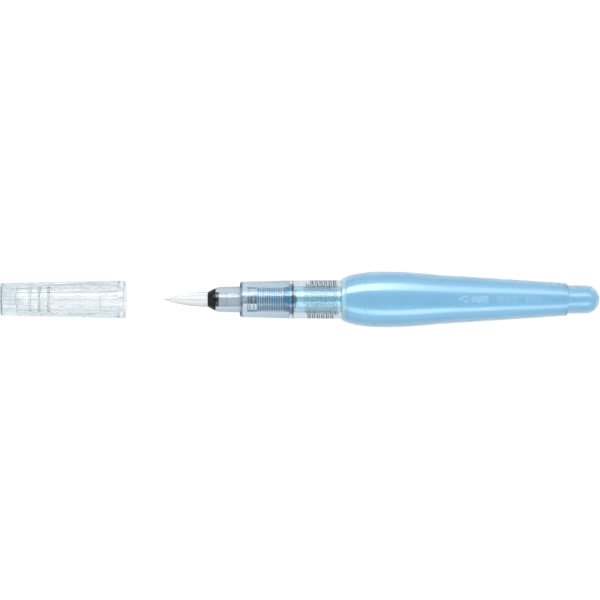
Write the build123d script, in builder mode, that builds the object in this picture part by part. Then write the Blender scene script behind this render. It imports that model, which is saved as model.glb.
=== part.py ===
from build123d import *
import os
from math import cos, pi, radians, sin

# A squeezable water brush pen with its cap off, lying on a table in line with the pen.
# Millimetres. +X runs from the cap's closed end to the pen's tail, +Z is up from the
# table, and the origin is on the table under the middle of the whole length.
#
# Pen stations are distances along the pen from the tip of its tuft. Cap stations are
# distances along the cap from its closed end. Both lie on one straight axis.

# ---------------------------------------------------------------- driving dimensions
CAP_LENGTH = 41.7
CAP_GAP = 12.5  # from the cap's open rim to the tuft's tip
PEN_LENGTH = 143.9
AXIS_HEIGHT = 6.4  # half the barrel's thickness, so the barrel rests on the table
PLAY = 0.04  # radial and axial play between parts that are pushed together

# pen stations, tip to tail
COLLAR_FRONT = 14.75
NECK_FRONT = 17.4
ROOT_FRONT = 18.45
ROOT_BACK = 21.2
CAP_SEAT = 25.4  # shoulder that the cap's rim stops against
COMB_FRONT = 27.7
FLANGE_FRONT = 41.6
FLANGE_BACK = 42.4
MOUTH = 43.1
SKIRT_BACK = 58.7
SHOULDER = 58.8
TAIL_STEP = 133.2
TAIL_ROUND = 139.2

# radii
TUFT_R = 2.2
COLLAR_BORE_R = TUFT_R + PLAY / 2
NECK_BORE_R = 2.5
NECK_FRONT_R = 4.1
NECK_BACK_R = 4.3
SEAT_R = 5.86
SKIRT_R = 6.38
COMB_BORE_R = 4.25
SKIRT_BORE_R = 5.15
WICK_R = 0.9
SPIGOT_R = 3.1
BOTTLE_NECK_R = 4.35
BOTTLE_BORE_R = 3.3
TAIL_R = 4.7
BOTTLE_WALL = 0.9

# screw thread between bottle neck and skirt, right-handed
PITCH = 1.5
THREAD_START = 46.7
THREAD_LENGTH = 10.5
THREAD_HEIGHT = 0.5
THREAD_BASE = 0.82
THREAD_CREST = 0.34
THREAD_ROOT = 0.1  # depth that a ridge is buried in its wall

# ---------------------------------------------------------------- frame of each axis
TOTAL_LENGTH = CAP_LENGTH + CAP_GAP + PEN_LENGTH
CAP_END_X = -TOTAL_LENGTH / 2
TIP_X = CAP_END_X + CAP_LENGTH + CAP_GAP

AXIS = Axis((0, 0, AXIS_HEIGHT), (1, 0, 0))
PEN_SIDE = Plane((TIP_X, 0, AXIS_HEIGHT), x_dir=(1, 0, 0), z_dir=(0, -1, 0))
PEN_CROSS = Plane((TIP_X, 0, AXIS_HEIGHT), x_dir=(0, 1, 0), z_dir=(1, 0, 0))
CAP_SIDE = Plane((CAP_END_X, 0, AXIS_HEIGHT), x_dir=(1, 0, 0), z_dir=(0, -1, 0))

os.makedirs("parts", exist_ok=True)


def keep(name, part):
    """Labels a finished piece and writes it as one STEP file."""
    part.label = name
    export_step(part, f"parts/{name}.step")


# ---------------------------------------------------------------- cap
# One clear moulding: a tapered fluted tube with a thick domed end, three beads round
# the bore and a wider socket that takes the pen's neck.
CAP_END_R = 5.38
CAP_RIM_R = 6.28
CAP_DOME = 0.8
CAP_RIM_ROUND = 1.5
CAP_RIM_FACE_R = 5.55
CAP_FLOOR = 6.0
CAP_PIP = 1.2  # height of the gate cone on the bore's floor
CAP_PIP_R = 1.6
CAP_FLOOR_R = 3.9
CAP_BORE_R = 4.2
SOCKET_R = 4.4
SOCKET_DEPTH = 8.0
BEADS = (10.7, 13.7, 16.8)
BEAD_WIDTH = 0.8
BEAD_HEIGHT = 0.3
FLUTES = 26
FLUTE_R = 0.56
FLUTE_DEPTH = 0.3
FLUTE_BACK = 39.9

socket_front = CAP_LENGTH - SOCKET_DEPTH
bore_taper = (CAP_BORE_R - CAP_FLOOR_R) / (socket_front - CAP_FLOOR)


def bore_radius(station):
    """Radius of the cap's tapered bore."""
    return CAP_FLOOR_R + bore_taper * (station - CAP_FLOOR)


def flute_plane(angle):
    """Plane at the start of one flute's round cutter, with its normal along the flute."""
    lift = FLUTE_R - FLUTE_DEPTH
    around = Vector(0, cos(radians(angle)), sin(radians(angle)))
    start = Vector(CAP_END_X, 0, AXIS_HEIGHT) + around * (CAP_END_R + lift)
    end = Vector(CAP_END_X + FLUTE_BACK, 0, AXIS_HEIGHT) + around * (CAP_RIM_R + lift)
    return Plane(start, z_dir=end - start)


with BuildPart() as cap:
    with BuildSketch(CAP_SIDE):
        with BuildLine():
            ThreePointArc((0, 0), (CAP_DOME / 4, CAP_END_R / 2), (CAP_DOME, CAP_END_R))
            Line((CAP_DOME, CAP_END_R), (CAP_LENGTH - CAP_RIM_ROUND, CAP_RIM_R))
            EllipticalCenterArc(
                (CAP_LENGTH - CAP_RIM_ROUND, CAP_RIM_FACE_R),
                CAP_RIM_ROUND,
                CAP_RIM_R - CAP_RIM_FACE_R,
                start_angle=0,
                arc_size=90,
            )
            Polyline(
                (CAP_LENGTH, CAP_RIM_FACE_R),
                (CAP_LENGTH, SOCKET_R),
                (socket_front, SOCKET_R),
                (socket_front, CAP_BORE_R),
                *(
                    point
                    for bead in reversed(BEADS)
                    for point in (
                        (bead + BEAD_WIDTH / 2, bore_radius(bead + BEAD_WIDTH / 2)),
                        (bead + BEAD_WIDTH / 4, bore_radius(bead) - BEAD_HEIGHT),
                        (bead - BEAD_WIDTH / 4, bore_radius(bead) - BEAD_HEIGHT),
                        (bead - BEAD_WIDTH / 2, bore_radius(bead - BEAD_WIDTH / 2)),
                    )
                ),
                (CAP_FLOOR, CAP_FLOOR_R),
                (CAP_FLOOR, CAP_PIP_R),
                (CAP_FLOOR + CAP_PIP, 0),
                (0, 0),
            )
        make_face()
    revolve(axis=AXIS)
    with Locations(*(flute_plane(k * 360 / FLUTES) for k in range(FLUTES))):
        Cylinder(
            FLUTE_R,
            FLUTE_BACK,
            align=(Align.CENTER, Align.CENTER, Align.MIN),
            mode=Mode.SUBTRACT,
        )

# ---------------------------------------------------------------- bristle tuft
# Nylon filaments that taper to a point, gathered in the collar and fused into a short
# root block behind it.
TUFT_BELLY = ((2.2, 0.7), (4.9, 1.34), (8.8, 1.86), (12.0, 2.12))

with BuildPart() as bristle_tuft:
    with BuildSketch(PEN_SIDE):
        with BuildLine():
            Spline((0, 0), *TUFT_BELLY, (COLLAR_FRONT, TUFT_R))
            Polyline(
                (COLLAR_FRONT, TUFT_R),
                (ROOT_FRONT, TUFT_R),
                (ROOT_FRONT, NECK_BORE_R - PLAY),
                (ROOT_BACK, NECK_BORE_R - PLAY),
                (ROOT_BACK, 0),
                (0, 0),
            )
        make_face()
    revolve(axis=AXIS)

# ---------------------------------------------------------------- tuft collar
# Black nose cone that gathers the filaments, with a short shank in the neck's bore.
COLLAR_FRONT_R = 2.45
COLLAR_MID = 16.7
COLLAR_MID_R = 3.56
COLLAR_BACK_R = 3.64

with BuildPart() as tuft_collar:
    with BuildSketch(PEN_SIDE):
        with BuildLine():
            Polyline(
                (COLLAR_FRONT, COLLAR_BORE_R),
                (COLLAR_FRONT, COLLAR_FRONT_R),
                (COLLAR_MID, COLLAR_MID_R),
                (NECK_FRONT - PLAY, COLLAR_BACK_R),
                (NECK_FRONT - PLAY, NECK_BORE_R - PLAY),
                (ROOT_FRONT - PLAY, NECK_BORE_R - PLAY),
                (ROOT_FRONT - PLAY, COLLAR_BORE_R),
                close=True,
            )
        make_face()
    revolve(axis=AXIS)

# ---------------------------------------------------------------- front section
# One clear moulding: the neck that the cap goes over, the grip round the comb, and the
# internally threaded skirt that screws over the bottle's neck.
NECK_CHAMFER = 0.9
NECK_NOSE_R = 3.86
SEAT_CHAMFER = 0.5
GRIP_BACK_R = 6.26
CONE_FRONT = 25.8
CONE_BACK = 26.1

with BuildPart() as front_section:
    with BuildSketch(PEN_SIDE):
        with BuildLine():
            Polyline(
                (NECK_FRONT, NECK_BORE_R),
                (NECK_FRONT, NECK_NOSE_R),
                (NECK_FRONT + NECK_CHAMFER, NECK_FRONT_R),
                (CAP_SEAT, NECK_BACK_R),
                (CAP_SEAT, SEAT_R - SEAT_CHAMFER),
                (CAP_SEAT + SEAT_CHAMFER, SEAT_R),
                (FLANGE_FRONT, GRIP_BACK_R),
                (SKIRT_BACK, SKIRT_R),
                (SKIRT_BACK, SKIRT_BORE_R),
                (FLANGE_FRONT - PLAY, SKIRT_BORE_R),
                (FLANGE_FRONT - PLAY, COMB_BORE_R),
                (CONE_BACK, COMB_BORE_R),
                (CONE_FRONT, NECK_BORE_R),
                close=True,
            )
        make_face()
    revolve(axis=AXIS)
    with BuildLine():
        skirt_helix = Helix(
            pitch=PITCH,
            height=THREAD_LENGTH - PITCH / 2,
            radius=SKIRT_BORE_R,
            center=(TIP_X + THREAD_START + PITCH / 2, 0, AXIS_HEIGHT),
            direction=(1, 0, 0),
        )
    skirt_start = skirt_helix @ 0
    skirt_radial = Vector(0, skirt_start.Y, skirt_start.Z - AXIS_HEIGHT)
    with BuildSketch(Plane(skirt_start, x_dir=skirt_radial, z_dir=skirt_helix % 0)):
        with BuildLine():
            Polyline(
                (THREAD_ROOT, THREAD_BASE / 2),
                (-THREAD_HEIGHT, THREAD_CREST / 2),
                (-THREAD_HEIGHT, -THREAD_CREST / 2),
                (THREAD_ROOT, -THREAD_BASE / 2),
                close=True,
            )
        make_face()
    sweep(path=skirt_helix, is_frenet=True)

# ---------------------------------------------------------------- comb
# Collector with thin fins that hold spare water by capillarity, cut by a narrow air
# slot. Two side rails carry three open rings in front of its core. Its flange is clamped
# by the bottle's mouth, and its spigot plugs the mouth.
COMB_R = COMB_BORE_R - PLAY
COMB_CORE_R = 3.75
CORE_FRONT = 30.9
COMB_FINS = 12
FIN_PITCH = 0.76
FIN_THICK = 0.38
RINGS = (COMB_FRONT, 28.5, 29.75)
RING_THICK = 0.4
RAIL_DEPTH = 0.6
RAIL_WIDTH = 0.8
BOSS_FRONT = 40.1
SPIGOT_BACK = 43.9
SLOT_WIDTH = 0.5
SLOT_DEPTH = 0.8
FLANGE_R = SKIRT_BORE_R - 2 * PLAY
WICK_STEM_R = 1.5

with BuildPart() as feed_comb:
    with BuildSketch(PEN_SIDE):
        with BuildLine():
            Polyline(
                (CORE_FRONT, WICK_R + PLAY),
                (CORE_FRONT, COMB_CORE_R),
                (BOSS_FRONT, COMB_CORE_R),
                (BOSS_FRONT, COMB_R),
                (FLANGE_FRONT, COMB_R),
                (FLANGE_FRONT, FLANGE_R),
                (FLANGE_BACK, FLANGE_R),
                (FLANGE_BACK, SPIGOT_R),
                (SPIGOT_BACK - SLOT_WIDTH, SPIGOT_R),
                (SPIGOT_BACK, SPIGOT_R - SLOT_WIDTH),
                (SPIGOT_BACK, WICK_R + PLAY),
                close=True,
            )
        make_face()
    revolve(axis=AXIS)
    for k in range(COMB_FINS):
        with BuildSketch(PEN_CROSS.offset(CORE_FRONT + k * FIN_PITCH)):
            Circle(COMB_R)
            Circle(WICK_R + PLAY, mode=Mode.SUBTRACT)
        extrude(amount=FIN_THICK)
    for front in RINGS:
        with BuildSketch(PEN_CROSS.offset(front)):
            Circle(COMB_R)
            Circle(WICK_STEM_R + PLAY, mode=Mode.SUBTRACT)
        extrude(amount=RING_THICK)
    with BuildSketch(PEN_CROSS.offset(COMB_FRONT)):
        Circle(COMB_R)
        Circle(COMB_R - RAIL_DEPTH, mode=Mode.SUBTRACT)
        Rectangle(2 * COMB_R, RAIL_WIDTH, mode=Mode.INTERSECT)
    extrude(amount=CORE_FRONT + FIN_THICK / 2 - COMB_FRONT)
    with BuildSketch(PEN_CROSS.offset(CORE_FRONT - PLAY)):
        with Locations((0, -COMB_R)):
            Rectangle(SLOT_WIDTH, 2 * SLOT_DEPTH)
    extrude(amount=BOSS_FRONT + PLAY - CORE_FRONT, mode=Mode.SUBTRACT)

# ---------------------------------------------------------------- feed wick
# Porous fibre rod that carries water from the bottle's mouth to the tuft's root. Its
# wide head fills the neck's bore behind the root.
WICK_HEAD_R = NECK_BORE_R - 2 * PLAY
WICK_HEAD_BACK = 26.5
WICK_BACK = 44.2

with BuildPart() as feed_wick:
    with BuildSketch(PEN_SIDE):
        with BuildLine():
            Polyline(
                (ROOT_BACK + PLAY, 0),
                (ROOT_BACK + PLAY, WICK_HEAD_R),
                (WICK_HEAD_BACK, WICK_HEAD_R),
                (WICK_HEAD_BACK, WICK_STEM_R),
                (CORE_FRONT - PLAY, WICK_STEM_R),
                (CORE_FRONT - PLAY, WICK_R),
                (WICK_BACK, WICK_R),
                (WICK_BACK, 0),
                close=True,
            )
        make_face()
    revolve(axis=AXIS)

# ---------------------------------------------------------------- seal ring
# Soft washer between the comb's flange and the bottle's mouth.
with BuildPart() as seal_ring:
    with BuildSketch(PEN_CROSS.offset(FLANGE_BACK + PLAY)):
        Circle(FLANGE_R)
        Circle(BOTTLE_BORE_R, mode=Mode.SUBTRACT)
    extrude(amount=MOUTH - FLANGE_BACK - 2 * PLAY)
    chamfer(seal_ring.edges(), length=0.12)

# ---------------------------------------------------------------- bottle
# One squeezable blow moulding: threaded neck, oval barrel with a wide shoulder, and a
# round tail that the cap can be posted on.
#
# Each barrel section is (distance from the shoulder, half width, half thickness,
# handle). The handle is the share of the half width that a quarter's curve handles
# take: 0.552 draws an ellipse and more draws a squarer oval.
BARREL = (
    (0.0, 6.8, 6.38, 0.552),
    (1.3, 7.47, 6.39, 0.556),
    (3.6, 8.22, 6.395, 0.562),
    (8.0, 8.95, 6.4, 0.572),
    (15.0, 9.23, 6.395, 0.578),
    (22.0, 9.02, 6.36, 0.582),
    (31.0, 8.26, 6.22, 0.586),
    (42.0, 7.54, 5.9, 0.59),
    (54.0, 6.75, 5.5, 0.592),
    (65.0, 6.04, 5.14, 0.594),
    (TAIL_STEP - SHOULDER, 5.42, 4.9, 0.594),
)
MOUTH_CHAMFER = 0.3


def oval_points(wall, half_width, half_thickness, handle):
    """Control points of an oval's four quarters, drawn inside a wall of that thickness."""
    w, t = half_width - wall, half_thickness - wall
    hw, ht = handle * w, handle * t
    return (
        ((w, 0), (w, ht), (hw, t), (0, t)),
        ((0, t), (-hw, t), (-w, ht), (-w, 0)),
        ((-w, 0), (-w, -ht), (-hw, -t), (0, -t)),
        ((0, -t), (hw, -t), (w, -ht), (w, 0)),
    )


with BuildPart() as bottle:
    for station, *oval in BARREL:
        with BuildSketch(PEN_CROSS.offset(SHOULDER + station)):
            with BuildLine():
                for quarter in oval_points(0, *oval):
                    Bezier(*quarter)
            make_face()
    loft()
    with BuildSketch(PEN_SIDE):
        with BuildLine():
            Polyline(
                (MOUTH + MOUTH_CHAMFER, BOTTLE_NECK_R),
                (SHOULDER + BOTTLE_WALL, BOTTLE_NECK_R),
                (SHOULDER + BOTTLE_WALL, 0),
                (MOUTH, 0),
                (MOUTH, BOTTLE_NECK_R - MOUTH_CHAMFER),
                close=True,
            )
        make_face()
        with BuildLine():
            Polyline(
                (TAIL_STEP - BOTTLE_WALL, 0),
                (TAIL_STEP - BOTTLE_WALL, TAIL_R),
                (TAIL_ROUND, TAIL_R),
            )
            ThreePointArc(
                (TAIL_ROUND, TAIL_R),
                (TAIL_ROUND + TAIL_R * cos(pi / 4), TAIL_R * sin(pi / 4)),
                (PEN_LENGTH, 0),
            )
            Line((PEN_LENGTH, 0), (TAIL_STEP - BOTTLE_WALL, 0))
        make_face()
    revolve(axis=AXIS)
    with BuildLine():
        neck_helix = Helix(
            pitch=PITCH,
            height=THREAD_LENGTH,
            radius=BOTTLE_NECK_R,
            center=(TIP_X + THREAD_START, 0, AXIS_HEIGHT),
            direction=(1, 0, 0),
        )
    neck_start = neck_helix @ 0
    neck_radial = Vector(0, neck_start.Y, neck_start.Z - AXIS_HEIGHT)
    with BuildSketch(Plane(neck_start, x_dir=neck_radial, z_dir=neck_helix % 0)):
        with BuildLine():
            Polyline(
                (-THREAD_ROOT, THREAD_BASE / 2),
                (THREAD_HEIGHT, THREAD_CREST / 2),
                (THREAD_HEIGHT, -THREAD_CREST / 2),
                (-THREAD_ROOT, -THREAD_BASE / 2),
                close=True,
            )
        make_face()
    sweep(path=neck_helix, is_frenet=True)
    for station, *oval in BARREL[1:]:
        with BuildSketch(PEN_CROSS.offset(SHOULDER + station)):
            with BuildLine():
                for quarter in oval_points(BOTTLE_WALL, *oval):
                    Bezier(*quarter)
            make_face()
    loft(mode=Mode.SUBTRACT)
    with BuildSketch(PEN_SIDE):
        with BuildLine():
            Polyline(
                (MOUTH, 0),
                (MOUTH, BOTTLE_BORE_R),
                (SHOULDER + 2 * BOTTLE_WALL, BOTTLE_BORE_R),
                (SHOULDER + 2 * BOTTLE_WALL, 0),
                close=True,
            )
        make_face()
        with BuildLine():
            Polyline(
                (TAIL_STEP - BOTTLE_WALL, 0),
                (TAIL_STEP - BOTTLE_WALL, TAIL_R - BOTTLE_WALL),
                (TAIL_ROUND, TAIL_R - BOTTLE_WALL),
            )
            ThreePointArc(
                (TAIL_ROUND, TAIL_R - BOTTLE_WALL),
                (
                    TAIL_ROUND + (TAIL_R - BOTTLE_WALL) * cos(pi / 4),
                    (TAIL_R - BOTTLE_WALL) * sin(pi / 4),
                ),
                (PEN_LENGTH - BOTTLE_WALL, 0),
            )
            Line((PEN_LENGTH - BOTTLE_WALL, 0), (TAIL_STEP - BOTTLE_WALL, 0))
        make_face()
    revolve(axis=AXIS, mode=Mode.SUBTRACT)

keep("cap", cap.part)
keep("bristle_tuft", bristle_tuft.part)
keep("tuft_collar", tuft_collar.part)
keep("front_section", front_section.part)
keep("feed_comb", feed_comb.part)
keep("feed_wick", feed_wick.part)
keep("seal_ring", seal_ring.part)
keep("bottle", bottle.part)
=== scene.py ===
import math

import bmesh
import bpy
import numpy as np
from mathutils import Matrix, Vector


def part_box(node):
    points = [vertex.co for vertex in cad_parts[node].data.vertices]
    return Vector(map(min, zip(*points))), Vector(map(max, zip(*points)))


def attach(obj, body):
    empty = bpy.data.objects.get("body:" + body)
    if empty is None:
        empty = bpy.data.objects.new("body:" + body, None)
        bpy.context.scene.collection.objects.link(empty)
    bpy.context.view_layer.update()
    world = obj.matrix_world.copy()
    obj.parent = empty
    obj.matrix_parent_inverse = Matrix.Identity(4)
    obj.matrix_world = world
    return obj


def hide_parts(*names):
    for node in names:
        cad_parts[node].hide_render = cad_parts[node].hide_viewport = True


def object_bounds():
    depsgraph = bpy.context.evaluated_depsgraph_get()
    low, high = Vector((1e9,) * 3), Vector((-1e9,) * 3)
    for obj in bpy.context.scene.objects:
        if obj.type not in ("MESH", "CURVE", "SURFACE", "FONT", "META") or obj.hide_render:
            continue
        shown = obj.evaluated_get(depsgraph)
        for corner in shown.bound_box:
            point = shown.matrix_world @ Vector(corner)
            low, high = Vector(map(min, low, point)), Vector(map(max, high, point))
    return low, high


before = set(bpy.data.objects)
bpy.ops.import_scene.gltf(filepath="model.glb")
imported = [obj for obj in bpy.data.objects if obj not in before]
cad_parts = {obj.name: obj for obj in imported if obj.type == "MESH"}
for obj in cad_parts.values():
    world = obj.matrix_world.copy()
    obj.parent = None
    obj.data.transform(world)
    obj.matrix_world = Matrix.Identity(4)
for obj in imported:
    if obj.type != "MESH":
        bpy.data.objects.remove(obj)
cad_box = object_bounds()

# A water brush pen with its cap off. Lengths below are millimetres and are turned into
# metres where a mesh is made. Pen stations run along the pen from the tuft's tip, and
# cap stations run along the cap from its closed end.
MM = 0.001
TIP_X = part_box("bristle_tuft")[0].x / MM
CAP_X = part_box("cap")[0].x / MM
AXIS_Z = (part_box("front_section")[0].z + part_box("front_section")[1].z) / 2 / MM
TAU = 2 * math.pi

CAP_LENGTH = (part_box("cap")[1].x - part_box("cap")[0].x) / MM
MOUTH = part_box("bottle")[0].x / MM - TIP_X
PEN_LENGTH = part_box("bottle")[1].x / MM - TIP_X
NECK_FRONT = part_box("front_section")[0].x / MM - TIP_X
SKIRT_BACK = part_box("front_section")[1].x / MM - TIP_X
COLLAR_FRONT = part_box("tuft_collar")[0].x / MM - TIP_X
COLLAR_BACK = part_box("tuft_collar")[1].x / MM - TIP_X
SHOULDER = SKIRT_BACK + 0.1

PITCH = 1.5
THREAD_HEIGHT = 0.4
INNER_THREAD_HEIGHT = 0.2
THREAD_BASE = 1.05
THREAD_CREST = 0.25
THREAD_START = 46.7
THREAD_TURNS = 7.0


# ---------------------------------------------------------------- outlines
def rounded(corners, steps=5):
    """An outline through (x, r, fillet) corners, with each corner turned into an arc."""
    points = []
    for k, (x, r, fillet) in enumerate(corners):
        here = np.array((x, r), float)
        if not fillet or k in (0, len(corners) - 1):
            points.append(here)
            continue
        before = np.array(corners[k - 1][:2]) - here
        after = np.array(corners[k + 1][:2]) - here
        a, b = before / np.linalg.norm(before), after / np.linalg.norm(after)
        half = math.acos(np.clip(a @ b, -1, 1)) / 2
        reach = fillet / math.tan(half)
        limit = 0.49 * min(np.linalg.norm(before), np.linalg.norm(after))
        if reach > limit:
            fillet *= limit / reach
            reach = limit
        centre = here + (a + b) / np.linalg.norm(a + b) * fillet / math.sin(half)
        start, end = here + a * reach - centre, here + b * reach - centre
        sweep = math.pi - 2 * half
        turn = 1 if start[0] * end[1] - start[1] * end[0] > 0 else -1
        for t in np.linspace(0, turn * sweep, steps):
            c, s = math.cos(t), math.sin(t)
            points.append(centre + (c * start[0] - s * start[1], s * start[0] + c * start[1]))
    return points


def supported(points, near=0.05, longest=4.0):
    """The outline with extra points beside its corners, so that long walls shade evenly."""
    out = [points[0]]
    for a, b in zip(points, points[1:]):
        gap = float(np.linalg.norm(b - a))
        if gap > 6 * near:
            inner = [near / gap]
            inner += list(np.linspace(0, 1, int(gap / longest) + 2)[1:-1])
            inner += [1 - near / gap]
            out += [a + (b - a) * t for t in inner]
        out.append(b)
    return out


def closed_outline(corners):
    """A closed outline with every corner rounded, without its repeated last point."""
    ring = [corners[-1], *corners, corners[0]]
    points = rounded(ring)[1:-1]
    return supported(points + [points[0]])[:-1]


def spline(knots, values, x):
    """Natural cubic spline through given knots."""
    knots, values = np.array(knots, float), np.array(values, float)
    h = np.diff(knots)
    n = len(knots)
    a, d = np.eye(n), np.zeros(n)
    for i in range(1, n - 1):
        a[i, i - 1 : i + 2] = h[i - 1], 2 * (h[i - 1] + h[i]), h[i]
        d[i] = 6 * ((values[i + 1] - values[i]) / h[i] - (values[i] - values[i - 1]) / h[i - 1])
    m = np.linalg.solve(a, d)
    x = np.clip(x, knots[0], knots[-1])
    i = np.clip(np.searchsorted(knots, x) - 1, 0, n - 2)
    left, right = knots[i + 1] - x, x - knots[i]
    return (
        (m[i] * left**3 + m[i + 1] * right**3) / (6 * h[i])
        + (values[i] / h[i] - m[i] * h[i] / 6) * left
        + (values[i + 1] / h[i] - m[i + 1] * h[i] / 6) * right
    )


def smooth(x):
    """Smoothstep from 0 to 1."""
    x = np.clip(x, 0, 1)
    return x * x * (3 - 2 * x)


# ---------------------------------------------------------------- meshes
def skin(name, rings, closed=False):
    """A closed mesh over rings of points in the row frame; a ring of one point is a pole."""
    verts, starts = [], []
    for ring in rings:
        starts.append(len(verts))
        verts.extend(np.atleast_2d(ring))
    faces = []
    pairs = list(zip(range(len(rings)), range(1, len(rings))))
    if closed:
        pairs.append((len(rings) - 1, 0))
    for i, j in pairs:
        n, m = len(np.atleast_2d(rings[i])), len(np.atleast_2d(rings[j]))
        if n == m == 1:
            continue
        a, b = starts[i], starts[j]
        for k in range(max(n, m)):
            q = (k + 1) % max(n, m)
            if n == 1:
                faces.append((a, b + k, b + q))
            elif m == 1:
                faces.append((a + k, b, a + q))
            else:
                faces.append((a + k, b + k, b + q, a + q))
    mesh = bpy.data.meshes.new(name)
    mesh.from_pydata([tuple(v) for v in np.array(verts) * MM], [], faces)
    face_outward(mesh)
    return mesh


def face_outward(mesh):
    """Turns a closed mesh's faces outward and shades it smooth between its sharp edges."""
    bm = bmesh.new()
    bm.from_mesh(mesh)
    if bm.calc_volume(signed=True) < 0:
        bmesh.ops.reverse_faces(bm, faces=bm.faces)
    bm.to_mesh(mesh)
    bm.free()
    mesh.polygons.foreach_set("use_smooth", [True] * len(mesh.polygons))
    mesh.set_sharp_from_angle(angle=math.radians(38))
    mesh.update()


def circle_rings(outline, origin, angles, relief=None):
    """Rings of an outline revolved about the pen's axis, with an optional relief on r."""
    rings = []
    for x, r in outline:
        if r < 1e-6:
            rings.append(np.array([(origin + x, 0, AXIS_Z)]))
            continue
        radius = np.full(len(angles), r)
        if relief is not None:
            radius = relief(x, r, angles)
        y, z = radius * np.cos(angles), radius * np.sin(angles)
        rings.append(np.stack([np.full(len(angles), origin + x), y, AXIS_Z + z], 1))
    return rings


def thread(x, angles, start, turns, height):
    """Height of a right-handed screw ridge at station x, tapered at both its ends."""
    phase = (x - start) / PITCH - angles / TAU
    ridge = np.round(phase)
    flank = (THREAD_BASE / 2 - np.abs(phase - ridge) * PITCH) / ((THREAD_BASE - THREAD_CREST) / 2)
    turn = ridge + angles / TAU
    ends = smooth(turn / 0.12) * smooth((turns - turn) / 0.12)
    return height * smooth(flank * 0.8 + 0.1) * ends


def piece(name, mesh, node, body, material):
    """Puts a finished mesh in the scene in a CAD node's place."""
    mesh.materials.append(material)
    obj = bpy.data.objects.new(name, mesh)
    bpy.context.scene.collection.objects.link(obj)
    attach(obj, body)
    if node:
        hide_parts(node)
    return obj


# ---------------------------------------------------------------- materials
def principled(name, **sockets):
    """A material with these values on its Principled shader's own sockets."""
    made = bpy.data.materials.new(name)
    made.use_nodes = True
    shader = made.node_tree.nodes["Principled BSDF"]
    for key, value in sockets.items():
        shader.inputs[key.replace("_", " ")].default_value = value
    return made, made.node_tree, shader


def noise(tree, scale, stretch=(1, 1, 1), detail=3.0):
    """Noise in the object's own space, with scale in waves per metre."""
    place = tree.nodes.new("ShaderNodeTexCoord")
    mapping = tree.nodes.new("ShaderNodeMapping")
    mapping.inputs["Scale"].default_value = stretch
    texture = tree.nodes.new("ShaderNodeTexNoise")
    texture.inputs["Scale"].default_value = scale
    texture.inputs["Detail"].default_value = detail
    tree.links.new(place.outputs["Object"], mapping.inputs["Vector"])
    tree.links.new(mapping.outputs["Vector"], texture.inputs["Vector"])
    return texture.outputs["Fac"]


def spread(tree, value, low, high):
    """A noise value spread over another range, with no clamp that would draw contours."""
    node = tree.nodes.new("ShaderNodeMapRange")
    node.clamp = False
    node.inputs["From Min"].default_value = 0.3
    node.inputs["From Max"].default_value = 0.7
    node.inputs["To Min"].default_value = low
    node.inputs["To Max"].default_value = high
    tree.links.new(value, node.inputs["Value"])
    return node.outputs["Result"]


def tint(tree, value, low, high):
    """A colour between two by a noise value, or past them by one outside 0.3 to 0.7."""
    node = tree.nodes.new("ShaderNodeMix")
    node.data_type = "RGBA"
    node.clamp_factor = False
    node.inputs["A"].default_value = (*low, 1)
    node.inputs["B"].default_value = (*high, 1)
    tree.links.new(spread(tree, value, 0, 1), node.inputs["Factor"])
    return node.outputs["Result"]


def bump(tree, shader, height, depth):
    """Surface relief of that depth in metres."""
    node = tree.nodes.new("ShaderNodeBump")
    node.inputs["Distance"].default_value = depth
    tree.links.new(height, node.inputs["Height"])
    tree.links.new(node.outputs["Normal"], shader.inputs["Normal"])


def ramp_along(tree, low, high):
    """A value that goes from 0 to 1 between two pen stations."""
    place = tree.nodes.new("ShaderNodeTexCoord")
    split = tree.nodes.new("ShaderNodeSeparateXYZ")
    ramp = tree.nodes.new("ShaderNodeMapRange")
    ramp.interpolation_type = "SMOOTHSTEP"
    ramp.inputs["From Min"].default_value = (TIP_X + low) * MM
    ramp.inputs["From Max"].default_value = (TIP_X + high) * MM
    tree.links.new(place.outputs["Object"], split.inputs["Vector"])
    tree.links.new(split.outputs["X"], ramp.inputs["Value"])
    return ramp.outputs["Result"]


def blend(tree, factor, low, high):
    """A mix of two colours or sockets by a factor."""
    node = tree.nodes.new("ShaderNodeMix")
    node.data_type = "RGBA"
    tree.links.new(factor, node.inputs["Factor"])
    for key, value in (("A", low), ("B", high)):
        if isinstance(value, tuple):
            node.inputs[key].default_value = (*value, 1)
        else:
            tree.links.new(value, node.inputs[key])
    return node.outputs["Result"]


def from_axis(tree, low, high):
    """A value that goes from 0 to 1 between two distances from the pen's axis."""
    place = tree.nodes.new("ShaderNodeTexCoord")
    shift = tree.nodes.new("ShaderNodeMapping")
    shift.inputs["Location"].default_value = (0, 0, -AXIS_Z * MM)
    across = tree.nodes.new("ShaderNodeVectorMath")
    across.operation = "MULTIPLY"
    across.inputs[1].default_value = (0, 1, 1)
    length = tree.nodes.new("ShaderNodeVectorMath")
    length.operation = "LENGTH"
    ramp = tree.nodes.new("ShaderNodeMapRange")
    ramp.interpolation_type = "SMOOTHSTEP"
    ramp.inputs["From Min"].default_value = low * MM
    ramp.inputs["From Max"].default_value = high * MM
    tree.links.new(place.outputs["Object"], shift.inputs["Vector"])
    tree.links.new(shift.outputs["Vector"], across.inputs[0])
    tree.links.new(across.outputs["Vector"], length.inputs[0])
    tree.links.new(length.outputs["Value"], ramp.inputs["Value"])
    return ramp.outputs["Result"]


def mixed(tree, factor, low, high):
    """A mix of two values or sockets by a factor."""
    node = tree.nodes.new("ShaderNodeMix")
    tree.links.new(factor, node.inputs["Factor"])
    for key, value in (("A", low), ("B", high)):
        if isinstance(value, float):
            node.inputs[key].default_value = value
        else:
            tree.links.new(value, node.inputs[key])
    return node.outputs["Result"]


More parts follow.
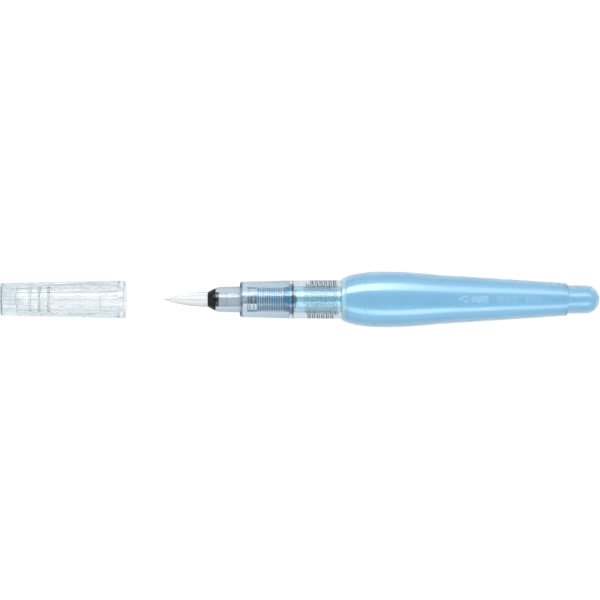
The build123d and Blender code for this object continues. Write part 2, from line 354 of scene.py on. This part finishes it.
def absorb(tree, colour, density):
    """A tint that deepens with the thickness of the plastic."""
    depth = tree.nodes.new("ShaderNodeVolumeAbsorption")
    depth.inputs["Color"].default_value = (*colour, 1)
    depth.inputs["Density"].default_value = density
    tree.links.new(depth.outputs["Volume"], tree.nodes["Material Output"].inputs["Volume"])


CAP_LOW = (0.915, 0.935, 0.95)
CAP_HIGH = (0.94, 0.955, 0.965)
CAP_ABSORBED = (0.03, 0.32, 0.41)
GRIP_LOW = (0.96, 0.975, 0.985)
GRIP_HIGH = (0.975, 0.985, 0.99)
GRIP_ABSORBED = (0.02, 0.30, 0.48)


def clear_plastic(name, low, high, absorbed, density):
    """Clear injection moulding: faint flow marks, an uneven polish and a tint in its depth."""
    made, tree, shader = principled(name, Transmission_Weight=1.0, IOR=1.5)
    flow = noise(tree, 160, (0.35, 1, 1))
    tree.links.new(tint(tree, flow, low, high), shader.inputs["Base Color"])
    tree.links.new(spread(tree, noise(tree, 700), 0.01, 0.035), shader.inputs["Roughness"])
    absorb(tree, absorbed, density)
    return made


# The neck's wall and the shoulder's lip let more light through than the barrel's walls.
# The lip is painted paler as a painted highlight of the shoulder's edge, and the groove
# behind the lip is painted a deeper blue as a painted shade line.
NECK_BLUE = (0.75, 0.95, 1.0)
LIP_HIGHLIGHT_BLUE = (0.56, 0.86, 1.0)
SEAM_SHADE_BLUE = (0.33, 0.64, 0.88)
BLUE_LOW = (0.475, 0.775, 0.95)
BLUE_HIGH = (0.495, 0.795, 0.965)
# The marks' paler colour is a painted highlight.
MARK_HIGHLIGHT_BLUE = (0.72, 0.9, 0.98)
BLUE_ABSORBED = (0.2, 0.62, 0.85)
LIP = 1.15


def blue_plastic():
    """Soft translucent blue: a clearer neck, and a hazy barrel with a smooth glossy skin."""
    made, tree, shader = principled("soft_blue_plastic", IOR=1.5, Coat_Roughness=0.04)
    cloud = tint(tree, noise(tree, 60, (0.4, 1, 1), 1.5), BLUE_LOW, BLUE_HIGH)
    lip_end = SHOULDER + LIP
    # Painted highlight on the shoulder's lip, and painted shade in the groove behind it.
    front = blend(tree, ramp_along(tree, SHOULDER - 0.2, SHOULDER), NECK_BLUE, LIP_HIGHLIGHT_BLUE)
    seam_shade = blend(tree, ramp_along(tree, lip_end - 0.1, lip_end + 0.1), front, SEAM_SHADE_BLUE)
    walls = blend(tree, ramp_along(tree, lip_end + 0.3, lip_end + 0.5), seam_shade, cloud)
    # Painted highlight: the raised marks are painted paler than the barrel.
    raised = tree.nodes.new("ShaderNodeAttribute")
    raised.attribute_name = "raised"
    painted = blend(tree, raised.outputs["Fac"], walls, MARK_HIGHLIGHT_BLUE)
    tree.links.new(painted, shader.inputs["Base Color"])
    haze = spread(tree, noise(tree, 120, (0.5, 1, 1), 1.0), 0.29, 0.33)
    clearer = spread(tree, noise(tree, 300, (0.5, 1, 1), 1.0), 0.05, 0.08)
    barrel = ramp_along(tree, SHOULDER - 0.4, SHOULDER + 0.2)
    tree.links.new(mixed(tree, barrel, clearer, haze), shader.inputs["Roughness"])
    front_passing = mixed(tree, barrel, 1.0, 0.6)
    passing = mixed(tree, ramp_along(tree, lip_end + 0.3, lip_end + 0.5), front_passing, 0.88)
    tree.links.new(passing, shader.inputs["Transmission Weight"])
    tree.links.new(barrel, shader.inputs["Coat Weight"])
    absorb(tree, BLUE_ABSORBED, 85)
    return made


NYLON_LOW = (0.83, 0.86, 0.87)
NYLON_HIGH = (0.92, 0.93, 0.93)


def nylon():
    """White nylon filaments, each a slightly different tone; the four outermost are painted grey as
    painted shade along the tuft's outline.
    """
    made, tree, shader = principled(
        "white_nylon", Transmission_Weight=0.15, IOR=1.53, Roughness=0.35
    )
    tone = tree.nodes.new("ShaderNodeAttribute")
    tone.attribute_name = "tone"
    colour = tint(tree, tone.outputs["Fac"], NYLON_LOW, NYLON_HIGH)
    tree.links.new(colour, shader.inputs["Base Color"])
    return made


BLACK_LOW = (0.004, 0.005, 0.007)
BLACK_HIGH = (0.009, 0.01, 0.013)


def black_plastic():
    """Glossy black moulding with a faint surface waviness."""
    made, tree, shader = principled("black_plastic", IOR=1.5)
    colour = tint(tree, noise(tree, 900), BLACK_LOW, BLACK_HIGH)
    tree.links.new(colour, shader.inputs["Base Color"])
    tree.links.new(spread(tree, noise(tree, 1500), 0.09, 0.15), shader.inputs["Roughness"])
    shader.inputs["Specular IOR Level"].default_value = 0.2
    bump(tree, shader, noise(tree, 600), 0.00002)
    return made


CORE_LOW = (0.16, 0.50, 0.78)
CORE_HIGH = (0.20, 0.55, 0.82)
FIN_RIM_HIGHLIGHT = (0.74, 0.93, 1.0)
SPIGOT_PAINTED_LIGHT_BLUE = (0.6, 0.86, 0.98)
BOSS_FRONT = 40.1


def teal_plastic():
    """Teal-blue feed plastic, with a painted highlight on its fins' rims, and the spigot past the
    bottle's mouth painted paler as painted light against the shade inside the neck.
    """
    made, tree, shader = principled("teal_plastic", IOR=1.5, Transmission_Weight=0.12)
    body = tint(tree, noise(tree, 500), CORE_LOW, CORE_HIGH)
    # Painted highlight: the fins' rims are painted paler.
    fins = blend(tree, from_axis(tree, 3.78, 4.12), body, FIN_RIM_HIGHLIGHT)
    both = blend(tree, ramp_along(tree, BOSS_FRONT - 0.2, BOSS_FRONT), fins, body)
    # Painted light: the spigot inside the bottle's neck is painted paler to lift its shade.
    paler = blend(tree, ramp_along(tree, MOUTH, MOUTH + 0.6), both, SPIGOT_PAINTED_LIGHT_BLUE)
    tree.links.new(paler, shader.inputs["Base Color"])
    tree.links.new(spread(tree, noise(tree, 1200), 0.15, 0.24), shader.inputs["Roughness"])
    return made


FIBRE_LOW = (0.86, 0.89, 0.91)
FIBRE_HIGH = (0.96, 0.97, 0.98)


def wick_fibre():
    """Porous fibre rod: fine streaks along its length."""
    made, tree, shader = principled("wick_fibre", Roughness=0.85)
    streak = noise(tree, 5000, (0.1, 1, 1))
    tree.links.new(tint(tree, streak, FIBRE_LOW, FIBRE_HIGH), shader.inputs["Base Color"])
    bump(tree, shader, streak, 0.00005)
    return made


RUBBER_LOW = (0.01, 0.025, 0.04)
RUBBER_HIGH = (0.02, 0.04, 0.06)


def seal_rubber():
    """Dark soft rubber."""
    made, tree, shader = principled("seal_rubber", IOR=1.5)
    colour = tint(tree, noise(tree, 1500), RUBBER_LOW, RUBBER_HIGH)
    tree.links.new(colour, shader.inputs["Base Color"])
    tree.links.new(spread(tree, noise(tree, 2500), 0.4, 0.6), shader.inputs["Roughness"])
    return made


# ---------------------------------------------------------------- cap
CAP_END_R = 5.38
CAP_RIM_R = 6.28
CAP_DOME = 0.8
CAP_FLOOR = 6.0
CAP_FLOOR_R = 3.9
CAP_BORE_R = 4.2
SOCKET_DEPTH = 8.0
SOCKET_R = 4.4
FLUTES = 26
FLUTE_R = 0.56
FLUTE_DEPTH = 0.3
FLUTE_BACK = 39.9
BEADS = (10.7, 13.7, 16.8)
BEAD_HEIGHT = 0.36
BEAD_HALF = 0.45


def make_cap():
    """Fluted clear tube with a thick domed end, beads round its bore and a wider socket."""
    slope = (CAP_RIM_R - CAP_END_R) / CAP_LENGTH
    dome_r = (CAP_END_R**2 + CAP_DOME**2) / (2 * CAP_DOME)
    dome = [(dome_r - math.sqrt(dome_r**2 - r * r), r) for r in np.linspace(0, CAP_END_R - 0.3, 12)]
    socket = CAP_LENGTH - SOCKET_DEPTH
    bore_slope = (CAP_BORE_R - CAP_FLOOR_R) / (socket - CAP_FLOOR)
    outer = [(x, r, 0) for x, r in dome]
    outer += [(CAP_DOME - 0.03, CAP_END_R + 0.02, 0.3)]
    outer += [(x, CAP_END_R + slope * x, 0) for x in np.linspace(3, 38.5, 10)]
    outer += [(x, CAP_END_R + slope * x, 0) for x in np.linspace(38.9, 40.2, 14)]
    outer += [(CAP_LENGTH, CAP_RIM_R, 1.2), (CAP_LENGTH, SOCKET_R, 0.25)]
    inner = [(socket, SOCKET_R, 0.08), (socket, CAP_BORE_R, 0.1)]
    for bead in reversed(BEADS):
        wall = CAP_FLOOR_R + bore_slope * (bead - CAP_FLOOR)
        inner += [(bead + BEAD_HALF, wall, 0.15)]
        inner += [(bead, wall - BEAD_HEIGHT, 0.3)]
        inner += [(bead - BEAD_HALF, wall, 0.15)]
    inner += [(CAP_FLOOR, CAP_FLOOR_R, 0.4), (CAP_FLOOR, 1.5, 0.3), (CAP_FLOOR + 1.2, 0, 0)]
    outline = supported(rounded(outer + inner, 8))

    def fluted(x, r, angles):
        if x > FLUTE_BACK or r < CAP_END_R - 1.2:
            return np.full(len(angles), r)
        along = (angles * FLUTES / TAU + 0.5) % 1 - 0.5
        across = along * TAU * r / FLUTES
        cut = np.sqrt(np.maximum(FLUTE_R**2 - across**2, 0)) - (FLUTE_R - FLUTE_DEPTH)
        cut = (cut + np.sqrt(cut**2 + 0.04**2)) / 2 - 0.002
        run_out = math.sqrt(max(0.0, 1 - (1 - min(1.0, (FLUTE_BACK - x) / 0.8)) ** 2))
        inward = smooth((r - (CAP_END_R - 1.2)) / 1.2)
        return r - np.maximum(cut, 0) * run_out * inward

    def relief(x, r, angles):
        on_outside = r > SOCKET_R + 0.05
        return fluted(x, r, angles) if on_outside else np.full(len(angles), r)

    angles = np.linspace(0, TAU, FLUTES * 16, endpoint=False)
    return skin("cap_shell", circle_rings(outline, CAP_X, angles, relief))


# ---------------------------------------------------------------- tuft
TUFT_STATIONS = (0.0, 0.9, 2.2, 3.5, 4.9, 6.2, 8.8, 11.5, 14.0, 15.5)
TUFT_RADII = (0.02, 0.24, 0.62, 1.0, 1.32, 1.56, 1.95, 2.2, 2.3, 2.2)
FILAMENTS = 620
FILAMENT_R = 0.082
# The four outermost filaments, drawn thicker and painted grey: painted shade along the tuft's
# outline.
OUTER_SHARE = 1.04
OUTER_THICKER = 1.4
OUTLINE_SHADE_TONES = (-2.3, -0.3, -2.3, -0.3)
ROOT_FRONT = 18.45
ROOT_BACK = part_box("bristle_tuft")[1].x / MM - TIP_X
ROOT_R = 2.46
ROOT_TONE = 0.9


def make_tuft():
    """Tapered filaments that lean together into a point, with four thicker ones outside painted
    grey as painted shade along the outline.
    """
    rng = np.random.default_rng(7)
    k = np.arange(FILAMENTS)
    share = np.sqrt((k + 0.5) / FILAMENTS)
    around = k * math.pi * (3 - math.sqrt(5))
    tip = 0.05 + 3.6 * rng.random(FILAMENTS) ** 2.2 * (0.35 + 0.65 * share)
    tip[:6] = 0.0
    phase = rng.random(FILAMENTS)[:, None] * TAU
    tones = rng.random(FILAMENTS)
    # The four outermost filaments get painted shade: grey tones along the tuft's outline.
    share[-4:], around[-4:], tip[-4:] = OUTER_SHARE, np.arange(4) * TAU / 4, 0.1
    phase[-4:], tones[-4:] = 0.0, OUTLINE_SHADE_TONES
    steps, sides = 15, 6
    t = np.linspace(0, 1, steps)
    stations = ROOT_FRONT + 0.2 + (tip[:, None] - ROOT_FRONT - 0.2) * t[None, :]
    envelope = np.where(
        stations > TUFT_STATIONS[-1],
        TUFT_RADII[-1],
        spline(TUFT_STATIONS, TUFT_RADII, stations),
    )
    taper = np.clip(envelope / TUFT_RADII[-1], 0, 1) ** 0.75 * (1 - 0.55 * t[None, :] ** 6)
    thick = FILAMENT_R * taper
    thick[-4:] *= OUTER_THICKER
    wobble = 0.02 * np.sin(stations * 0.6 + phase)
    lean = share[:, None] * np.maximum(envelope - thick, 0)
    angle = around[:, None] + wobble
    cy, cz = lean * np.cos(angle), lean * np.sin(angle)
    ring = np.arange(sides) * TAU / sides
    y = cy[..., None] + thick[..., None] * np.cos(ring)
    z = cz[..., None] + thick[..., None] * np.sin(ring)
    x = np.broadcast_to(stations[..., None], y.shape)
    verts = np.stack([TIP_X + x, y, AXIS_Z + z], -1).reshape(-1, 3)
    block = steps * sides
    faces = []
    for f in range(FILAMENTS):
        base = f * block
        for s in range(steps - 1):
            for q in range(sides):
                a, b = base + s * sides + q, base + s * sides + (q + 1) % sides
                faces.append((a, b, b + sides, a + sides))
        faces.append(tuple(base + q for q in reversed(range(sides))))
        faces.append(tuple(base + (steps - 1) * sides + q for q in range(sides)))
    mesh = bpy.data.meshes.new("tuft_filaments")
    mesh.from_pydata([tuple(v) for v in verts * MM], [], faces)
    face_outward(mesh)
    tone = mesh.attributes.new("tone", "FLOAT", "POINT")
    tone.data.foreach_set("value", np.repeat(tones, block).astype(np.float32))
    return mesh


def make_tuft_root():
    """Fused block of filament ends, behind the collar."""
    corners = [
        (ROOT_FRONT, 0, 0),
        (ROOT_FRONT, ROOT_R, 0.15),
        (ROOT_BACK, ROOT_R, 0.2),
        (ROOT_BACK, 0, 0),
    ]
    angles = np.linspace(0, TAU, 96, endpoint=False)
    mesh = skin("tuft_root", circle_rings(supported(rounded(corners)), TIP_X, angles))
    tone = mesh.attributes.new("tone", "FLOAT", "POINT")
    tone.data.foreach_set("value", [ROOT_TONE] * len(mesh.vertices))
    return mesh


# ---------------------------------------------------------------- collar and section
CAP_SEAT = 25.4
FLANGE_FRONT = 41.6
NECK_BORE_R = 2.5
GRIP_BORE_R = 4.25
SKIRT_BORE_R = 5.15
SHANK_R = 2.46
COLLAR_BORE_R = 2.22
PLAY = 0.04


def make_collar():
    """Black nose cone with a short shank in the neck."""
    corners = [
        (COLLAR_FRONT, COLLAR_BORE_R, 0.06),
        (COLLAR_FRONT, 2.45, 0.1),
        (16.7, 3.56, 0.5),
        (NECK_FRONT - PLAY, 3.64, 0.12),
        (NECK_FRONT - PLAY, SHANK_R, 0.05),
        (COLLAR_BACK, SHANK_R, 0.06),
        (COLLAR_BACK, COLLAR_BORE_R, 0.06),
    ]
    angles = np.linspace(0, TAU, 128, endpoint=False)
    return skin("nose_collar", circle_rings(closed_outline(corners), TIP_X, angles), closed=True)


def make_section():
    """Clear neck, cap seat, grip and internally threaded skirt."""
    corners = [
        (NECK_FRONT, NECK_BORE_R, 0.06),
        (NECK_FRONT, 3.86, 0.12),
        (NECK_FRONT + 0.9, 4.1, 0.25),
        (CAP_SEAT, 4.3, 0.15),
        (CAP_SEAT, 5.7, 0.12),
        (CAP_SEAT + 0.35, 5.86, 0.2),
        (FLANGE_FRONT, 6.26, 1.0),
        (SKIRT_BACK, 6.38, 0.12),
        (SKIRT_BACK, SKIRT_BORE_R, 0.12),
    ]
    bore = [(x, SKIRT_BORE_R, 0) for x in np.linspace(58.0, 46.4, 150)]
    bore += [
        (42.95, SKIRT_BORE_R, 0.05),
        (42.9, 5.4, 0.08),
        (42.55, 5.4, 0.08),
        (42.5, SKIRT_BORE_R, 0.05),
        (FLANGE_FRONT - PLAY, SKIRT_BORE_R, 0.08),
        (FLANGE_FRONT - PLAY, GRIP_BORE_R, 0.08),
        (26.05, GRIP_BORE_R, 0.25),
        (25.85, NECK_BORE_R, 0.12),
    ]

    def relief(x, r, angles):
        if abs(r - SKIRT_BORE_R) > 0.01:
            return np.full(len(angles), r)
        start, turns = THREAD_START + PITCH / 2, THREAD_TURNS - 0.5
        return r - thread(x, angles, start, turns, INNER_THREAD_HEIGHT)

    angles = np.linspace(0, TAU, 144, endpoint=False)
    outline = closed_outline(corners + bore)
    return skin("grip_section", circle_rings(outline, TIP_X, angles, relief), closed=True)


# ---------------------------------------------------------------- bottle
# Barrel sections: distance from the shoulder, half width, half thickness, and the share
# of the half width that a quarter's curve handles take.
BARREL = (
    (0.0, 6.8, 6.38, 0.552),
    (1.3, 7.47, 6.385, 0.556),
    (3.6, 8.22, 6.39, 0.562),
    (8.0, 8.95, 6.395, 0.572),
    (15.0, 9.23, 6.39, 0.578),
    (22.0, 9.02, 6.355, 0.582),
    (31.0, 8.26, 6.21, 0.586),
    (42.0, 7.54, 5.89, 0.59),
    (54.0, 6.75, 5.49, 0.592),
    (65.0, 6.04, 5.13, 0.594),
    (74.4, 5.42, 4.89, 0.594),
)
BARREL_LENGTH = BARREL[-1][0]
ROUND_HANDLE = 0.5523
WALL = 0.9
BOTTLE_NECK_R = 4.35
BOTTLE_BORE_R = 3.3
SHOULDER_TURN = 0.35
STEP_TURN = 0.4
FACE_SHARE = 0.96
TAIL_R = 4.7
TAIL_FRONT = SHOULDER + BARREL_LENGTH
TAIL_ROUND = PEN_LENGTH - TAIL_R
# The marks run along the pen's world x from 52 to 81.5 mm.
MARKS_FRONT = 52.0 - TIP_X
MARKS_BACK = 81.5 - TIP_X
MARK_HEIGHT = 0.2
WITNESS = 7.8
WITNESS_DEPTH = 0.08
LIP_GROOVE = LIP + 0.2
LIP_GROOVE_DEPTH = 0.1


def column_shares():
    """Where the bottle's columns run in each quarter, closer together over the marks."""
    plain = list(np.arange(0, 1, 1 / 26))
    fine = sorted(plain + list(np.linspace(0.86, 0.995, 22)))
    mirrored = [0.0] + [1 - share for share in reversed(fine[1:])]
    return fine, mirrored, plain, plain


def oval(a, b, handle):
    """Points round an oval from +Y through +Z, as four cubic quarters."""
    points = []
    for quarter, shares in enumerate(column_shares()):
        t = np.array(shares)
        p, q = (1 - t) ** 3 + 3 * (1 - t) ** 2 * t, 3 * (1 - t) * t**2
        u = p + q * handle
        v = 3 * (1 - t) ** 2 * t * handle + q + t**3
        y, z = ((u, v), (-v, u), (-u, -v), (v, -u))[quarter]
        points.append(np.stack([y * a, z * b], 1))
    return np.concatenate(points)


def drop_shape(x, y):
    """Distance from the outline of a water drop that lies along x, tip to the left."""
    body = np.hypot(x - 1.9, y) - 0.95
    cone = np.abs(y) * 0.9 - (x - 0.1) * 0.48
    drop = np.where(x < 1.4, np.maximum(cone, -x), body)
    return np.abs(drop) - 0.15


def marks(x, y):
    """Height of the generic raised marks on the barrel's top: a drop, waves and ticks."""
    along = x - MARKS_FRONT
    found = drop_shape(along - 0.4, y)
    for lane in (-0.75, 0.0, 0.75):
        wave = np.abs(y - lane - 0.22 * np.sin(along * 2.6)) - 0.15
        wave = np.maximum(wave, np.abs(along - 7.2) - 2.6)
        found = np.minimum(found, wave)
    for first, count, tall in ((13.0, 8, 0.85), (22.5, 6, 0.6)):
        for k in range(count):
            tick = np.maximum(np.abs(along - first - k * 0.95) - 0.16, np.abs(y) - tall)
            found = np.minimum(found, tick)
    return smooth(0.5 - found / 0.3)


def barrel_ring(u, wall):
    """One ring of the barrel, set in by a wall thickness, with its marks and witness line."""
    places = [row[0] for row in BARREL]
    half_width, half_thickness, handle = (
        spline(places, [row[k] for row in BARREL], np.array([u]))[0] for k in (1, 2, 3)
    )
    ring = oval(half_width - wall, half_thickness - wall, handle)
    x = SHOULDER + u
    if wall == 0:
        lift = MARK_HEIGHT * np.where(ring[:, 1] > 0, marks(x, ring[:, 0]), 0)
        lift = lift - WITNESS_DEPTH * math.exp(-(((u - WITNESS) / 0.14) ** 2))
        lift = lift - LIP_GROOVE_DEPTH * math.exp(-(((u - LIP_GROOVE) / 0.16) ** 2))
        length = np.hypot(ring[:, 0], ring[:, 1])
        ring = ring * (1 + lift / length)[:, None]
    return np.stack([np.full(len(ring), TIP_X + x), ring[:, 0], AXIS_Z + ring[:, 1]], 1)


def round_rings(outline, relief=None):
    """Round rings that follow the barrel's columns."""
    unit = oval(1, 1, ROUND_HANDLE)
    angles = np.arctan2(unit[:, 1], unit[:, 0]) % TAU
    return circle_rings(outline, TIP_X, angles, relief)


def neck_rings():
    """The threaded neck, from just inside its mouth to the shoulder's face."""
    outline = [
        (MOUTH + 0.5, BOTTLE_BORE_R, 0),
        (MOUTH, BOTTLE_BORE_R, 0.12),
        (MOUTH, BOTTLE_NECK_R, 0.3),
        *[(x, BOTTLE_NECK_R, 0) for x in np.linspace(45.8, 58.2, 156)],
        (SHOULDER, BOTTLE_NECK_R, 0.2),
        (SHOULDER, 5.2, 0.0),
    ]

    def relief(x, r, angles):
        if abs(r - BOTTLE_NECK_R) > 0.01:
            return np.full(len(angles), r)
        return r + thread(x, angles, THREAD_START, THREAD_TURNS, THREAD_HEIGHT)

    neck = round_rings(supported(rounded(outline))[1:-1], relief)
    return neck + round_rings([(SHOULDER, 5.4), (SHOULDER, 5.8)])


def quarter_turn(start, end, outward):
    """Rings that round the corner between two rings, setting off outward or along the pen."""
    rings = []
    for turn in np.linspace(0, math.pi / 2, 7):
        early, late = math.sin(turn), 1 - math.cos(turn)
        share = (late, early, early) if outward else (early, late, late)
        rings.append(start + (end - start) * np.array(share))
    return rings


def outer_rings():
    """The shoulder, the oval barrel and the small step down to the tail."""
    before = MARKS_FRONT - SHOULDER
    after = MARKS_BACK - SHOULDER
    stations = [
        *np.linspace(SHOULDER_TURN, 2.0, 24)[1:],
        *np.linspace(2.0, 6.8, 14)[1:],
        *np.linspace(7.3, 8.3, 17),
        *np.linspace(9.0, before, 56),
        *np.linspace(before, after, 228)[1:],
        *np.linspace(after, BARREL_LENGTH - STEP_TURN, 10)[1:],
    ]
    middle = np.array((0, 0, AXIS_Z))
    face = middle + (barrel_ring(0, 0) - middle) * np.array((1, FACE_SHARE, FACE_SHARE))
    rings = quarter_turn(face, barrel_ring(SHOULDER_TURN, 0), outward=True)
    rings += [barrel_ring(u, 0) for u in stations]
    step = round_rings([(TAIL_FRONT, TAIL_R + 0.12)])[0]
    return rings + quarter_turn(rings[-1], step, outward=False)[1:]


def dome(radius, turns):
    """Outline points round the tail's end."""
    return [(TAIL_ROUND + radius * math.sin(a), radius * math.cos(a)) for a in turns]


def tail_rings():
    """The round tail, outside and then inside."""
    inside = TAIL_R - WALL
    outline = [
        (TAIL_FRONT + 0.12, TAIL_R),
        (TAIL_FRONT + 0.2, TAIL_R),
        (TAIL_FRONT + 3, TAIL_R),
        (TAIL_ROUND - 0.1, TAIL_R),
        *dome(TAIL_R, np.linspace(0, math.pi / 2, 22)[:-1]),
        (PEN_LENGTH, 0),
        (PEN_LENGTH - WALL, 0),
        *dome(inside, np.linspace(math.pi / 2, 0, 18)[1:]),
        (TAIL_FRONT + 0.5, inside),
        (TAIL_FRONT + 0.1, inside + 0.03),
    ]
    return round_rings(outline)


def inner_rings():
    """The barrel's inner wall, the shoulder's inside and the neck's bore."""
    barrel = [barrel_ring(u, WALL) for u in np.linspace(BARREL_LENGTH - 0.6, 1.6, 110)]
    bore = [
        (SHOULDER + 1.2, 5.6),
        (SHOULDER + 1.15, 4.6),
        (SHOULDER + 1.1, 3.6),
        (SHOULDER + 1.0, 3.35),
        (SHOULDER + 0.8, BOTTLE_BORE_R),
        *[(x, BOTTLE_BORE_R) for x in np.linspace(SHOULDER, MOUTH + 0.6, 10)],
    ]
    return barrel + round_rings(bore)


def store_raised(mesh):
    """Stores where the barrel's marks stand up, for the material's painted highlight on them."""
    places = np.array([v.co[:] for v in mesh.vertices]) / MM
    stations, across, up = places[:, 0] - TIP_X, places[:, 1], places[:, 2] - AXIS_Z
    top = np.interp(stations - SHOULDER, [row[0] for row in BARREL], [row[2] for row in BARREL])
    raised = np.where(up > top - 0.45, marks(stations, across), 0)
    layer = mesh.attributes.new("raised", "FLOAT", "POINT")
    layer.data.foreach_set("value", raised.astype(np.float32))


def make_bottle():
    """Threaded neck, wide shoulder, oval barrel and round tail, hollow inside."""
    rings = neck_rings() + outer_rings() + tail_rings() + inner_rings()
    mesh = skin("bottle_shell", rings, closed=True)
    store_raised(mesh)
    return mesh


# ---------------------------------------------------------------- build the object
clear_cap = clear_plastic("clear_cap_plastic", CAP_LOW, CAP_HIGH, CAP_ABSORBED, 40)
clear_grip = clear_plastic("clear_grip_plastic", GRIP_LOW, GRIP_HIGH, GRIP_ABSORBED, 155)
soft_blue = blue_plastic()
white_nylon = nylon()

piece("cap_shell", make_cap(), "cap", "cap", clear_cap)
piece("tuft_filaments", make_tuft(), "bristle_tuft", "section", white_nylon)
piece("tuft_root", make_tuft_root(), None, "section", white_nylon)
piece("nose_collar", make_collar(), "tuft_collar", "section", black_plastic())
piece("grip_section", make_section(), "front_section", "section", clear_grip)
piece("bottle_shell", make_bottle(), "bottle", "bottle", soft_blue)

for node, finish in (
    ("feed_comb", teal_plastic()),
    ("feed_wick", wick_fibre()),
    ("seal_ring", seal_rubber()),
):
    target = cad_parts[node]
    target.data.materials.clear()
    target.data.materials.append(finish)


# ---------------------------------------------------------------- stage
PHOTO_WIDTH = 198.0
FLOOR_HALF = 1.5


def make_floor():
    """Plain pale floor, lit a little from within like a light table."""
    mesh = bpy.data.meshes.new("floor")
    h = FLOOR_HALF
    mesh.from_pydata([(-h, -h, 0), (h, -h, 0), (h, h, 0), (-h, h, 0)], [], [(0, 1, 2, 3)])
    made, tree, shader = principled(
        "floor", Base_Color=(0.08, 0.08, 0.08, 1), Roughness=1.0, Emission_Color=(1, 1, 1, 1)
    )
    shader.inputs["Specular IOR Level"].default_value = 0.0
    place = tree.nodes.new("ShaderNodeTexCoord")
    far = tree.nodes.new("ShaderNodeVectorMath")
    far.operation = "LENGTH"
    glow = tree.nodes.new("ShaderNodeMapRange")
    glow.interpolation_type = "SMOOTHSTEP"
    glow.inputs["From Min"].default_value = 0.15
    glow.inputs["From Max"].default_value = 0.7
    glow.inputs["To Min"].default_value = 0.96
    glow.inputs["To Max"].default_value = 0.35
    tree.links.new(place.outputs["Object"], far.inputs[0])
    tree.links.new(far.outputs["Value"], glow.inputs["Value"])
    tree.links.new(glow.outputs["Result"], shader.inputs["Emission Strength"])
    mesh.materials.append(made)
    floor = bpy.data.objects.new("floor", mesh)
    bpy.context.scene.collection.objects.link(floor)


def make_world():
    """Soft studio surround: dim overhead and at the horizon, brighter between."""
    world = bpy.data.worlds.new("studio")
    bpy.context.scene.world = world
    world.use_nodes = True
    tree = world.node_tree
    background = tree.nodes["Background"]
    place = tree.nodes.new("ShaderNodeTexCoord")
    split = tree.nodes.new("ShaderNodeSeparateXYZ")
    ramp = tree.nodes.new("ShaderNodeValToRGB")
    tree.links.new(place.outputs["Generated"], split.inputs[0])
    tree.links.new(split.outputs["Z"], ramp.inputs[0])
    tree.links.new(ramp.outputs[0], background.inputs[0])
    stops = ((0.0, 0.45), (0.4, 1.05), (0.85, 0.55), (1.0, 0.25))
    elements = ramp.color_ramp.elements
    elements[0].position, elements[1].position = stops[0][0], stops[-1][0]
    for place_at, _ in stops[1:-1]:
        elements.new(place_at)
    for element, (_, grey) in zip(sorted(elements, key=lambda e: e.position), stops):
        element.color = (grey, grey * 1.01, grey * 1.03, 1)


# Each softbox is a row of panels that dims along the pen: where a panel starts and ends,
# and its radiance.
KEY_LIGHT = (
    (-0.34, 0.045, 7.0),
    (0.045, 0.06, 5.0),
    (0.06, 0.08, 3.6),
    (0.08, 0.10, 2.8),
    (0.10, 0.50, 2.0),
)
FILL_LIGHT = (
    (-0.34, -0.025, 1.0),
    (-0.025, 0.035, 2.6),
    (0.035, 0.115, 3.4),
    (0.115, 0.15, 2.7),
    (0.15, 0.50, 2.0),
)
WARMTH = (1.0, 0.98, 0.96)
LIGHT_DISTANCE = 0.5
KEY_TILT, KEY_WIDTH = 37, 0.22
FILL_TILT, FILL_WIDTH = -39, 0.16


def softbox(name, tilt, low_x, high_x, width, radiance):
    """A strip light along the pen, tilted from overhead towards +Y, facing the pen."""
    data = bpy.data.lights.new(name, "AREA")
    data.shape = "RECTANGLE"
    data.size, data.size_y = high_x - low_x, width
    data.energy = radiance * math.pi * data.size * data.size_y
    data.color = WARMTH
    light = bpy.data.objects.new(name, data)
    a = math.radians(tilt)
    middle = (low_x + high_x) / 2
    light.location = (middle, math.sin(a) * LIGHT_DISTANCE, math.cos(a) * LIGHT_DISTANCE)
    light.rotation_euler = (-a, 0, 0)
    bpy.context.scene.collection.objects.link(light)


def make_camera():
    """Straight above the pen, with the whole length across the picture."""
    lens, sensor = 120, 36
    data = bpy.data.cameras.new("camera")
    data.lens, data.sensor_width = lens, sensor
    camera = bpy.data.objects.new("camera", data)
    middle = (cad_box[0].x + cad_box[1].x) / 2
    distance = PHOTO_WIDTH / 2 * MM * lens / (sensor / 2)
    camera.location = (middle + 0.28 * MM, -0.2 * MM, AXIS_Z * MM + distance)
    bpy.context.scene.collection.objects.link(camera)
    bpy.context.scene.camera = camera


make_floor()
make_world()
for k, (low_x, high_x, radiance) in enumerate(KEY_LIGHT):
    softbox(f"key_{k}", KEY_TILT, low_x, high_x, KEY_WIDTH, radiance)
for k, (low_x, high_x, radiance) in enumerate(FILL_LIGHT):
    softbox(f"fill_{k}", FILL_TILT, low_x, high_x, FILL_WIDTH, radiance)
make_camera()
bpy.context.scene.view_settings.view_transform = "Standard"
